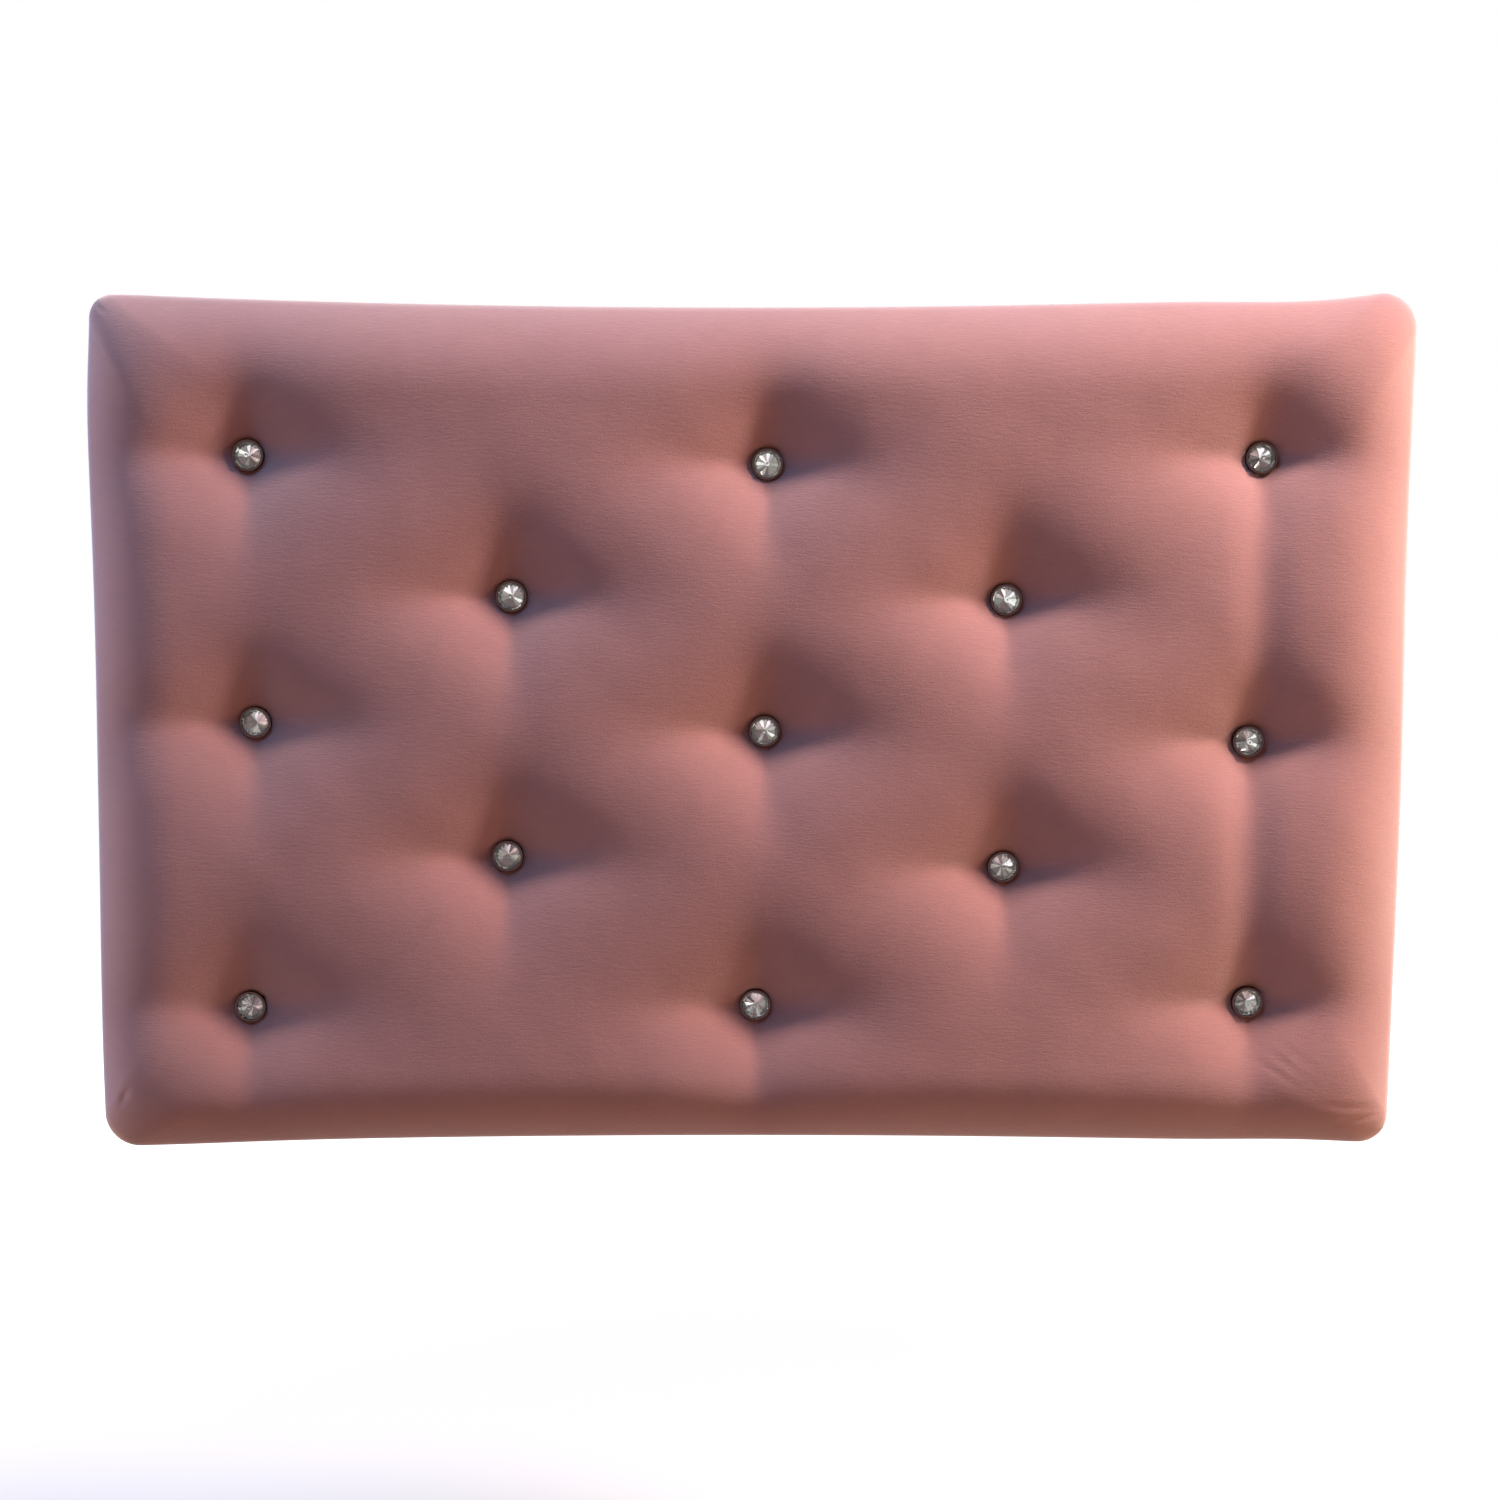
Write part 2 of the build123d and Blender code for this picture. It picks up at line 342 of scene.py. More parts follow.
def tuft_depth(x, z):
    """How far the tufts pull the pad in at a place on the panel."""
    total = sum(n * tuft_fall(x - b.x, z - b.z) for n, b in zip(amounts, buttons))
    for b in buttons:
        r = np.hypot(x - b.x, z - b.z)
        total = total + rim_dip * np.clip((rim_r - r) / rim_fall, 0, 1)
    return np.minimum(total, pit_deep)


print("tufts add", (amounts / mm).round(1), "mm")

# %% [markdown]
# No pad is perfectly even. A little smooth noise stands for lumps in the foam and for the
# hand that pulled the cloth. A lattice of seeded random numbers, eased between its points,
# gives the same result each time the script runs.

# %% Smooth noise
lattice_size = 64


def ease(share):
    """A share from 0 to 1 that starts and ends gently."""
    share = np.clip(share, 0, 1)
    return share * share * (3 - 2 * share)


def soft_noise(x, z, size, seed):
    """Smooth noise between -1 and 1 with lumps of about the given size."""
    lattice = np.random.default_rng(seed).uniform(-1, 1, (lattice_size, lattice_size))
    u, v = x / size, z / size
    i, j = np.floor(u).astype(int), np.floor(v).astype(int)
    s, t = ease(u - i), ease(v - j)
    i, j, n = i % lattice_size, j % lattice_size, lattice_size
    low = lattice[j, i] * (1 - s) + lattice[j, (i + 1) % n] * s
    high = lattice[(j + 1) % n, i] * (1 - s) + lattice[(j + 1) % n, (i + 1) % n] * s
    return low * (1 - t) + high * t


# %% [markdown]
# The cover is one grid of quads. Its middle is a plain grid whose four corner patches are
# bent round, and from the grid's border, rings of the same number of points run on over the
# rolled edge, down the sides and onto the back. So there is no seam between front and side,
# just as the cloth has none, and the rounded corners have no pinched faces. Each corner of the
# real panel is rounded a little differently, so each has its own change of radius.

# %% Grid and rings of a rounded pad
corner_steps = 14
long_steps = 330
short_steps = 200
corner_changes = {(-1, 1): -11 * mm, (1, 1): -1 * mm, (-1, -1): -3 * mm, (1, -1): -6 * mm}


def side_lines(count, corner_count):
    """Lines of the grid along one side: place along the core, and way round the corner."""
    way = np.arange(corner_count, 0, -1) / corner_count
    ends = np.ones(corner_count)
    core = np.concatenate([-ends, np.linspace(-1, 1, count + 1), ends])
    turn = np.concatenate([-way, np.zeros(count + 1), way[::-1]])
    return core, turn


def rounded(core_u, turn_u, core_v, turn_v, half_w, half_h, r):
    """Points of a rounded rectangle from its grid lines, around the origin."""
    for (side, end), more in corner_changes.items():
        r = r + more * (1 + side * core_u) * (1 + end * core_v) / 4
    x = core_u * (half_w - r) + r * turn_u * np.sqrt(1 - turn_v**2 / 2)
    z = core_v * (half_h - r) + r * turn_v * np.sqrt(1 - turn_u**2 / 2)
    return x, z


class PadGrid:
    """The lines and the faces that every soft layer shares."""

    def __init__(self, long_count, short_count, corner_count):
        self.u = side_lines(long_count, corner_count)
        self.v = side_lines(short_count, corner_count)
        columns, rows = len(self.u[0]), len(self.v[0])
        self.shape = (rows, columns)
        index = np.arange(rows * columns).reshape(rows, columns)
        self.border = np.concatenate([
            index[0, :-1], index[:-1, -1], index[-1, :0:-1], index[:0:-1, 0],
        ])

    def front(self, half_w, half_h, r):
        """The grid's points, as flat arrays of x and z."""
        u, v = [a[None, :] for a in self.u], [a[:, None] for a in self.v]
        x, z = rounded(*u, *v, half_w, half_h, r)
        return x.ravel(), z.ravel()

    def ring(self, half_w, half_h, r):
        """The points of one ring, in the border's order."""
        rows, columns = np.divmod(self.border, self.shape[1])
        u, v = [a[columns] for a in self.u], [a[rows] for a in self.v]
        return rounded(*u, *v, half_w, half_h, r)

    def front_faces(self):
        """The grid's quads, which face the front."""
        rows, columns = self.shape
        index = np.arange(rows * columns).reshape(rows, columns)
        corners = [index[:-1, :-1], index[:-1, 1:], index[1:, 1:], index[1:, :-1]]
        return np.stack([c.ravel() for c in corners], 1)

    def band_faces(self, one, other):
        """Quads between two rings of point numbers, where other lies outside of one."""
        return np.stack([one, other, np.roll(other, -1), np.roll(one, -1)], 1)


fine_grid = PadGrid(long_steps, short_steps, corner_steps)
print("fine grid", fine_grid.shape, "with a border of", len(fine_grid.border))


# %% A mesh object from arrays
def make_object(name, points, faces, material, smooth=True):
    """A mesh object from arrays of points and of faces, in metres."""
    mesh = bpy.data.meshes.new(name)
    mesh.from_pydata(np.asarray(points).tolist(), [], [list(map(int, f)) for f in faces])
    mesh.polygons.foreach_set("use_smooth", [smooth] * len(mesh.polygons))
    mesh.materials.append(material)
    mesh.validate()
    made = bpy.data.objects.new(name, mesh)
    bpy.context.scene.collection.objects.link(made)
    return made


# %% [markdown]
# The roll at the edge is a soft oval, from the side of the panel to its front. It is widest
# along the top and the right and narrowest along the bottom, and its last millimetres turn
# round into the side. The front isn't flat either: the foam swells a little towards the
# middle. The long edges are drawn in by the cloth, least at the corners, so the panel's
# outline is slightly waisted. All of this is worked out from a few sizes, so that one formula
# places every point of every layer.

# %% Sizes of the edge
corner_r = 26 * mm
crown_corner_r = 60 * mm
top_draw = 8.6 * mm
bottom_draw = 5.8 * mm
roll_in = 68 * mm
left_roll_in = 66 * mm
right_roll_in = 68 * mm
low_roll_in = 60 * mm
roll_deep = 34 * mm
roll_power = 2.5
roll_edge = 1.12
tuft_keep = 2.2
roll_steps = 34
side_steps = 10
fold_steps = 4
return_steps = 12
fold_r = 1.5 * mm
return_w = 45 * mm
roll_y = front_y + roll_deep
edge_r = 4 * mm
edge_deep = 3 * mm
wall_y = roll_y + edge_deep
floor_y = front_y + pit_deep
ring_crowding = 1.4
print("the roll is", round(low_roll_in / mm), "to", round(roll_in / mm), "mm wide")


def draw_in(x, z):
    """Height of a point once the cloth has drawn the long edges in."""
    keep = np.clip(1 - (x / (panel_w / 2 - corner_r)) ** 2, 0, 1)
    share = z / (panel_h / 2)
    pull = np.where(share > 0, -top_draw, bottom_draw) * share**2
    return mid_z + z + pull * keep


def roll_profile(skin, steps):
    """Inset, corner radius and way in over the roll of each ring, from the front outwards."""
    for step in range(1, steps + 1):
        way = (1 - step / steps) ** ring_crowding
        r = corner_r - skin + (crown_corner_r - corner_r) * way
        yield skin + (roll_in - skin) * way, r, way


def roll_rise(x, z, way):
    """Rise of the roll at a way in from the edge. Each side has its own width of roll."""
    wide = low_roll_in
    sides = ((-x, panel_w, left_roll_in), (x, panel_w, right_roll_in), (z, panel_h, roll_in))
    for out, across, roll in sides:
        wide = wide + (roll - wide) * ease((out - across / 2) / roll_in + 2)
    within = np.clip(way * roll_in / wide, 0, 1)
    return (1 - (1 - within) ** roll_power) ** (1 / roll_edge)


def edge_turn(way):
    """Depth by which the last millimetres turn down into the side."""
    left_over = np.clip(1 - way * roll_in / edge_r, 0, 1)
    return edge_deep * (1 - np.sqrt(1 - left_over**2))


# %% [markdown]
# Hands made this pad, so it isn't quite even. The tucks are spots where the cloth was pulled
# tighter or left fuller, and the outline moves with them. The folds are the small creases
# near the corners and the two long valleys between the buttons on the right. Both are kept as
# lists of places and sizes, since each was judged one by one and follows no rule. Near each
# button's rim the cloth turns sharply, so the grid's lines are gathered there, which gives
# the mesh more points where they are needed and none where the cloth is smooth.

# %% Tucks, folds and gathered lines
gather = 2.0 * mm
gather_reach = 7 * mm
gather_core = 0.45
left, right = -panel_w / 2 / mm, panel_w / 2 / mm
bottom, top = (mid_z - panel_h / 2) / mm, (mid_z + panel_h / 2) / mm
waist = mid_z / mm
spots = [b / mm for b in buttons]
# Each tuck in millimetres: its spot, how far the cloth moved there, and its reach.
tucks = [
    (left, top, 4.5, 0, 55),
    (left, waist + 90, 1.6, 0, 110),
    (left, bottom + 70, -2.0, 0, 110),
    (left + 30, bottom, 0, -1.6, 90),
    (right - 75, top, 0, -2.6, 60),
    (right - 10, top, 0, 2.4, 35),
    (right, top - 10, 3.2, 0, 130),
    (right, waist - 40, 2.4, 0, 150),
    (right - 60, bottom, -1.2, 1.8, 60),
]
# Each fold: its turn in degrees, then its spot, length, width and depth in millimetres.
folds = [
    (12, right - 24, bottom + 22, 16, 1.6, 0.9),
    (-6, right - 30, bottom + 31, 20, 1.8, 0.6),
    (60, left + 17, bottom + 38, 6, 2.6, 1.0),
    (-40, left + 14, top - 10, 5, 1.6, 0.4),
    (91, spots[2].x - 1, (spots[2].z + spots[7].z) / 2, 75, 16, 3.0),
    (90, spots[7].x - 1, (spots[7].z + spots[12].z) / 2, 75, 16, 3.6),
    (-38, right - 70, bottom + 68, 13, 1.7, 0.45),
    (-36, right - 78, bottom + 63, 13, 1.7, 0.4),
    (-30, right - 86, bottom + 57, 12, 1.7, 0.35),
]


def gather_rims(x, z):
    """Moves the points near a button's rim closer to it, so that the mesh is finer there."""
    for b in buttons:
        dx, dz = x - b.x, z - b.z
        r = np.hypot(dx, dz) + nearly_zero
        away = (r - rim_r) / gather_reach
        pull = 1 - gather * np.tanh(away / gather_core) * np.exp(-(away**2)) / r
        x, z = b.x + dx * pull, b.z + dz * pull
    return x, z


def tuck(x, z):
    """Moves the points near each tuck."""
    for row in tucks:
        at_x, at_z, move_x, move_z, reach = np.array(row) * mm
        share = np.exp(-((x - at_x) ** 2 + (z - at_z) ** 2) / reach**2)
        x, z = x + move_x * share, z + move_z * share
    return x, z


def creases(x, z):
    """Depth of the folds at a place."""
    total = 0 * x
    for turn, *sizes in folds:
        at_x, at_z, length, wide, deep = np.array(sizes) * mm
        dx, dz, turn = x - at_x, z - at_z, math.radians(turn)
        along = (dx * math.cos(turn) + dz * math.sin(turn)) / length
        across = (dz * math.cos(turn) - dx * math.sin(turn)) / wide
        total = total + deep * np.exp(-(along**2) - across**2)
    return total


print("the cloth has", len(tucks), "tucks and", len(folds), "folds")

# %% [markdown]
# Now one function can place the points of a layer. The roll sets how high the pad stands, the
# tufts, the lumps and the folds are added to it, and nothing may sink below the pit's floor.
# A layer that lies deeper, such as the foam, has the same form with its skin set back. Its
# grid gives the points of the front, and rings carry them on over the roll.

# %% Surface of a layer
foam_lumps = [(0.5 * mm, 70 * mm, 3), (0.2 * mm, 26 * mm, 4)]


def place_points(x, z, skin, way):
    """Frame points of the pad's surface, skin under the velvet's face."""
    rise = roll_rise(x, z, way)
    x, up = tuck(*gather_rims(x, draw_in(x, z)))
    high = roll_y + (front_y + skin + swell * (1 - swelling(x, up)) - roll_y) * rise
    tufts = tuft_depth(x, up) * (1 - (1 - rise) ** tuft_keep)
    lumps = sum(deep * soft_noise(x, up, size, seed) for deep, size, seed in foam_lumps)
    y = high + tufts + lumps * rise + creases(x, up) + edge_turn(way)
    lowest = skin + (floor_y if way == 1 else wall_y)
    return np.stack([x, np.minimum(y, lowest), up], 1)


def pad_surface(grid, skin, steps):
    """Points of the front and the roll of one layer, and the numbers of its last ring."""
    half_w, half_h = panel_w / 2, panel_h / 2
    x, z = grid.front(half_w - roll_in, half_h - roll_in, crown_corner_r - skin)
    blocks = [place_points(x, z, skin, 1.0)]
    faces = [grid.front_faces()]
    last, count = grid.border, len(x)
    for inset, r, way in roll_profile(skin, steps):
        x, z = grid.ring(half_w - inset, half_h - inset, r)
        blocks.append(place_points(x, z, skin, way))
        ring = count + np.arange(len(x))
        faces.append(grid.band_faces(last, ring))
        last, count = ring, count + len(x)
    return blocks, faces, last, count


def add_ring(grid, parts, inset, r, y, lift=0.0):
    """Adds a plain ring at depth y to the points and faces of a layer."""
    blocks, faces, last, count = parts
    x, z = grid.ring(panel_w / 2 - inset, panel_h / 2 - inset, r)
    ring = count + np.arange(len(x))
    x, up = tuck(x, draw_in(x, z))
    blocks.append(np.stack([x, y + lift + 0 * x, up], 1))
    faces.append(grid.band_faces(last, ring))
    return blocks, faces, ring, count + len(x)


# %% [markdown]
# At each corner the spare cloth is gathered into small pleats. They start just over the roll,
# deepen down the side and run onto the back, where they would be stapled flat.

# %% Pleats at the corners
pleat_count = 5
pleat_deep = 0.9 * mm
pleat_power = 3
side_share = 0.8
back_share = 0.7


def pleats(grid, share):
    """How far each point of a ring stands in for the pleats, at a share of their depth."""
    rows, columns = np.divmod(grid.border, grid.shape[1])
    turn = np.abs(grid.u[1][columns]) - np.abs(grid.v[1][rows])
    at_corner = (np.abs(grid.u[1][columns]) > 0) & (np.abs(grid.v[1][rows]) > 0)
    wave = np.abs(np.sin(turn * math.pi / 2 * pleat_count)) ** pleat_power
    return np.where(at_corner, pleat_deep * share * wave * (1 - turn**2), 0)


# %% Velvet cover
def make_velvet(grid, material):
    parts = pad_surface(grid, 0, roll_steps)
    for step in range(1, side_steps + 1):
        share = step / side_steps
        y = wall_y + (cover_high.y - fold_r - wall_y) * share
        parts = add_ring(grid, parts, side_share * pleats(grid, share), corner_r, y)
    for step in range(1, fold_steps + 1):
        turn = math.pi / 2 * step / fold_steps
        inset = fold_r * (1 - math.cos(turn)) + side_share * pleats(grid, 1)
        y = cover_high.y - fold_r * (1 - math.sin(turn))
        parts = add_ring(grid, parts, inset, corner_r - fold_r, y)
    for step in range(1, return_steps + 1):
        inset = fold_r + (return_w - fold_r) * step / return_steps
        lift = -back_share * pleats(grid, 1)
        parts = add_ring(grid, parts, inset, corner_r - fold_r, cover_high.y, lift)
    parts = add_ring(grid, parts, return_w, corner_r - fold_r, 0.0)
    blocks, faces, _, _ = parts
    return make_object("velvet", np.concatenate(blocks), np.concatenate(faces), material)


# %% [markdown]
# Velvet is a short, dense pile. Its colour comes from a dusty rose that changes a little with
# the way the pile lies, its softness from a high roughness, and its bloom from the sheen lobe
# of the Principled BSDF, which brightens the cloth where it turns away from the eye. At the
# outline a Layer Weight node also blends a paler rose into the colour, which is a painted sheen.
# The fine grain runs along the width, as the photograph's faint horizontal hatching does.

# %% Velvet material
rose_dark = (0.330, 0.125, 0.098)
rose_light = (0.430, 0.175, 0.135)
rose_cool = (0.365, 0.145, 0.135)
# The rim colour, its start and its share paint a paler sheen onto the outline.
rose_painted_sheen = (0.60, 0.36, 0.36)
painted_sheen_start = 0.55
painted_sheen_share = 0.15
grain_share = 0.6
lay_share = 0.45
lay_least = 0.1
cool_share = 0.35
hatch_share = 1.2


def make_velvet_material():
    material, tree, shader = new_material("dusty_rose_velvet")
    hatch = use_group(tree, grain_group, Along=7 * mm, Across=1.3 * mm, Detail=3.0)
    pile = use_group(tree, grain_group, Along=0.9 * mm, Across=0.6 * mm, Detail=2.0)
    brushed = use_group(tree, mottle_group, Size=85 * mm, Contrast=2.2)
    patch = use_group(tree, mottle_group, Size=22 * mm, Contrast=1.6)
    grain = compute(tree, "MULTIPLY", hatch["Tone"], pile["Tone"])
    lay = compute(tree, "MULTIPLY_ADD", patch["Tone"], lay_share, lay_least)
    tone = compute(tree, "MULTIPLY_ADD", grain, grain_share, lay)
    rose = blend_colours(tree, tone, rose_dark, rose_light)
    cool = compute(tree, "MULTIPLY", brushed["Tone"], cool_share)
    colour = blend_colours(tree, cool, rose, rose_cool)
    # Painted sheen: a paler rose is blended in where the cloth faces away from the eye.
    facing = add_node(tree, "ShaderNodeLayerWeight", {"Blend": 0.5}).outputs["Facing"]
    rim = add_node(tree, "ShaderNodeMapRange", {
        "Value": facing, "From Min": painted_sheen_start, "From Max": 1.0, "To Min": 0.0, "To Max": painted_sheen_share,
    }, interpolation_type="SMOOTHSTEP").outputs[0]
    set_colour(tree, shader, rim, colour, rose_painted_sheen)
    set_inputs(
        shader, Roughness=0.95, Sheen_Weight=1.0, Sheen_Roughness=0.6,
        Sheen_Tint=(1.0, 0.97, 0.95, 1), Specular_IOR_Level=0.1,
    )
    crepe = compute(tree, "MULTIPLY_ADD", hatch["Height"], hatch_share, pile["Height"])
    add_bump(tree, shader, crepe, 0.35 * mm, 0.45)
    return material


velvet = make_velvet(fine_grid, make_velvet_material())
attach(velvet, "root")
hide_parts("velvet_cover")
print("velvet has", len(velvet.data.polygons), "faces")

# %% [markdown]
# Under the velvet lie the wadding and the foam. Nobody sees them, but the part is made of
# separate pieces that a later scene may take apart, so both follow the same form, on a coarser
# grid. The wadding is a shell wrapped round the board's edge, and the foam fills the rest.

# %% Wadding and foam
velvet_t = 1.6 * mm
wadding_t = 5 * mm
layer_gap = 0.2 * mm
coarse_grid = PadGrid(long_count=110, short_count=70, corner_count=8)
coarse_roll_steps = 12


def shell(grid, outer, inner):
    """Closes two surfaces of the same grid into one body. The inner one is turned round."""
    blocks, faces, last, count = outer
    more, more_faces, more_last, _ = inner
    turned = [f[:, ::-1] + count for f in more_faces]
    rim = grid.band_faces(last, more_last + count)
    return np.concatenate(blocks + more), np.concatenate(faces + turned + [rim])


def layer_side(grid, under, end_y):
    """One side of a layer, as far under the velvet's face as given, down to the depth end_y."""
    surface = pad_surface(grid, under, coarse_roll_steps)
    return add_ring(grid, surface, under, corner_r - under, end_y)


def make_wadding(grid, material):
    outer = layer_side(grid, velvet_t + layer_gap, -layer_gap)
    inner = layer_side(grid, velvet_t + wadding_t, -layer_gap)
    return make_object("wadding", *shell(grid, outer, inner), material)


def make_foam(grid, material):
    under = velvet_t + layer_gap + wadding_t
    outer = layer_side(grid, under, board_y - layer_gap)
    x, z = grid.front(panel_w / 2 - under, panel_h / 2 - under, corner_r - under)
    back = np.stack([x, board_y - layer_gap + 0 * x, draw_in(x, z)], 1)
    inner = ([back], [grid.front_faces()], grid.border, len(back))
    return make_object("foam", *shell(grid, outer, inner), material)


# %% Wadding and foam materials
cells_per_metre = 900.0


def make_wadding_material():
    material, tree, shader = new_material("polyester_wadding")
    fibres = use_group(tree, grain_group, Along=4 * mm, Across=0.5 * mm, Detail=4.0)
    clumps = use_group(tree, mottle_group, Size=12 * mm, Contrast=1.5)
    tone = compute(tree, "MULTIPLY", fibres["Tone"], clumps["Tone"])
    set_colour(tree, shader, tone, (0.72, 0.72, 0.70), (0.90, 0.90, 0.88))
    set_inputs(shader, Roughness=0.95, Sheen_Weight=0.5, Sheen_Roughness=0.6)
    add_bump(tree, shader, fibres["Height"], 1 * mm, 0.8)
    return material


def make_foam_material():
    material, tree, shader = new_material("cream_foam")
    place = add_node(tree, "ShaderNodeTexCoord").outputs["Object"]
    cells = add_node(tree, "ShaderNodeTexVoronoi", {"Vector": place, "Scale": cells_per_metre})
    aged = use_group(tree, mottle_group, Size=90 * mm, Contrast=1.2)
    cream = blend_colours(tree, aged["Tone"], (0.86, 0.78, 0.55), (0.90, 0.85, 0.68))
    # Dark at each cell's middle, which is painted shade in the foam's pores.
    set_colour(tree, shader, cells.outputs["Distance"], (0.45, 0.38, 0.24), cream)
    set_inputs(shader, Roughness=0.9)
    add_bump(tree, shader, cells.outputs["Distance"], 0.6 * mm, 0.6)
    return material


wadding = make_wadding(coarse_grid, make_wadding_material())
foam = make_foam(coarse_grid, make_foam_material())
layers = [(wadding, "wadding_wrap", "wadding", 0.4), (foam, "foam_slab", "foam", 0.9)]
for piece, node, slot, fill in layers:
    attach(piece, "root")
    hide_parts(node)
    print(piece.name, "has", len(piece.data.polygons), "faces")

# %% [markdown]
# Each button is a crystal in a metal cup. The crystal is pointed in front and behind: long
# facets run from its point to the girdle, and the ones behind carry a silver foil. Light goes
# in through the clear front, bounces off the foil and comes out somewhere else, which is what
# makes it sparkle. So front and back are faces of one closed mesh, of glass and of foil, and
# every facet is flat. Neighbouring facets mirror different parts of a room. The scene around
# this panel is plain white, so the foil comes in four tones of painted reflection, from white
# to a dark rose for the velvet. Seeded numbers deal them out to the facets, with more of the
# dark ones to the lower left.

# %% Crystals
stone_low, stone_high = stone_boxes[0]
crystal_r = (stone_high.x - stone_low.x) / 2
crystal_point = -stone_low.y
crystal_tail = -stone_high.y
crystal_crown = 4.2 * mm
crystal_girdle = 0.7 * mm
crown_facets = 16
ring_share = 0.84
foil_share = 0.88
foil_bow = 0.6 * mm
foil_shift = 0.25
# The lean and the turn gather the foil's darkest painted reflections at the lower left.
reflection_lean = 0.3
foil_spread = 0.45
foil_seed = 39
dark_reflection_turn = math.radians(230)


def circle(r, high, count, shift=0.0):
    """Points on a circle that faces the front, as x, height and z."""
    turns = 2 * math.pi * (np.arange(count) + shift) / count
    return np.stack([r * np.cos(turns), np.full(count, high), r * np.sin(turns)], 1)


def foil_tones(turn, count, rng):
    """Foil numbers, as painted reflections, of a facet's inner and outer half, where 1 is the
    brightest of count.
    """
    tone = 0.5 + reflection_lean * math.cos(turn - dark_reflection_turn) + rng.uniform(-foil_spread, foil_spread, 2)
    return 1 + np.clip(tone * count, 0, count - 1).astype(int)


def crystal_rings():
    """Rings of points, from the crystal's point over its girdle to its tail."""
    n = crown_facets
    drop = crystal_crown * ring_share * math.cos(math.pi / n)
    girdle_top = crystal_point - crystal_crown
    girdle_low = girdle_top - crystal_girdle
    back = girdle_low - (girdle_low - crystal_tail) * (1 - foil_share)
    return [
        circle(0, crystal_point, 1),
        circle(crystal_r * ring_share, crystal_point - drop, n),
        circle(crystal_r, girdle_top, 2 * n),
        circle(crystal_r, girdle_low, 2 * n),
        circle(crystal_r * foil_share, back - foil_bow, n, foil_shift),
        circle(0, crystal_tail, 1),
    ]


def make_crystal(name, centre, seed, glass, foils):
    rings, n = crystal_rings(), crown_facets
    starts = np.cumsum([0] + [len(ring) for ring in rings])
    tip, mid, top, low, back, tail = starts[:-1]
    clear, foiled, tones = [], [], []
    rng = np.random.default_rng(seed)
    for i in range(n):
        after = (i + 1) % n
        inner, outer = foil_tones(2 * math.pi * i / n, len(foils), rng)
        tones += [inner, outer, outer, outer]
        clear.append([tip, mid + i, top + 2 * i + 1, mid + after])
        clear.append([mid + i, top + 2 * i, top + 2 * i + 1])
        clear.append([mid + i, top + (2 * i - 1) % (2 * n), top + 2 * i])
        foiled.append([tail, back + after, back + i])
        foiled.append([back + i, back + after, low + 2 * i + 1])
        foiled.append([back + after, low + (2 * i + 2) % (2 * n), low + 2 * i + 1])
        foiled.append([back + i, low + 2 * i + 1, low + 2 * i])
    for i in range(2 * n):
        after = (i + 1) % (2 * n)
        foiled.append([top + i, low + i, low + after, top + after])
        tones.append(1)
    points = np.concatenate(rings)
    places = np.stack([centre.x + points[:, 0], -points[:, 1], centre.z + points[:, 2]], 1)
    made = make_object(name, places, clear + foiled, glass, smooth=False)
    for foil in foils:
        made.data.materials.append(foil)
    for face, tone in zip(made.data.polygons[len(clear):], tones):
        face.material_index = int(tone)
    return made


# %% Crystal glass and foil
def make_glass():
    material, tree, shader = new_material("crystal_glass")
    smears = use_group(tree, tarnish_group, Size=3 * mm, Amount=0.2)
    set_roughness(tree, shader, smears["Mask"], 0.05, 0.01)
    set_inputs(shader, Base_Color=(0.96, 0.98, 0.97, 1), IOR=1.55, Transmission_Weight=1.0)
    return material


# Each foil: its name, its colour, and its colour where it is tarnished. Its colours are
# painted reflections, the rose one a painted reflection of the velvet.
foil_colours = [
    ("foil_painted_bright_reflection", (0.95, 0.95, 0.93), (0.60, 0.60, 0.56)),
    ("foil_painted_pale_reflection", (0.40, 0.38, 0.35), (0.28, 0.28, 0.25)),
    ("foil_painted_grey_reflection", (0.24, 0.22, 0.19), (0.17, 0.17, 0.15)),
    ("foil_painted_rose_reflection", (0.13, 0.085, 0.080), (0.08, 0.05, 0.05)),
]
glass = make_glass()
foils = [
    make_metal(*colours, size=1.5 * mm, amount=0.25, spread=0.2, least=0.06)
    for colours in foil_colours
]
for number, (node, centre) in enumerate(zip(crystals, buttons)):
    name = node.replace("crystal_stone", "button_crystal")
    stone = make_crystal(name, centre, foil_seed + number, glass, foils)
    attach(stone, "root")
    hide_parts(node)
print("crystals:", len(crystals), "of", len(stone.data.polygons), "facets")

# %% [markdown]
# The cups are turned metal, so each is a lathe form: a profile of heights and radii, spun
# round the button's axis. The polished lip shows as a thin dark ring. Its dark maroon colour
# is a painted reflection of the shaded velvet of the pit.

# %% Cups
cup_steps = 48
cup_wall = 1.7 * mm
cup_gap = 0.15 * mm
foot_r = 0.45 * mm
lip_r = 0.9 * mm
lip_over = 0.25 * mm
lip_bevel = 0.15 * mm
lip_step = 0.2 * mm
seat_gap = 0.1 * mm


def cup_profile():
    """Heights and radii round the cup's wall, from under its foot to inside its lip."""
    base = -floor_y
    lip = crystal_point - crystal_crown + lip_over
    inside = crystal_r + cup_gap
    outside = inside + cup_wall
    yield base, 0.0
    yield base, outside - foot_r
    for turn in np.radians(np.linspace(-90, 0, 4)[1:]):
        yield base + foot_r * (1 + math.sin(turn)), outside - foot_r * (1 - math.cos(turn))
    for turn in np.radians(np.linspace(0, 90, 5)):
        yield lip - lip_r * (1 - math.sin(turn)), outside - lip_r * (1 - math.cos(turn))
    yield lip, inside + lip_bevel
    yield lip - lip_step, inside
    yield crystal_tail - seat_gap, inside
    yield crystal_tail - seat_gap, 0.0


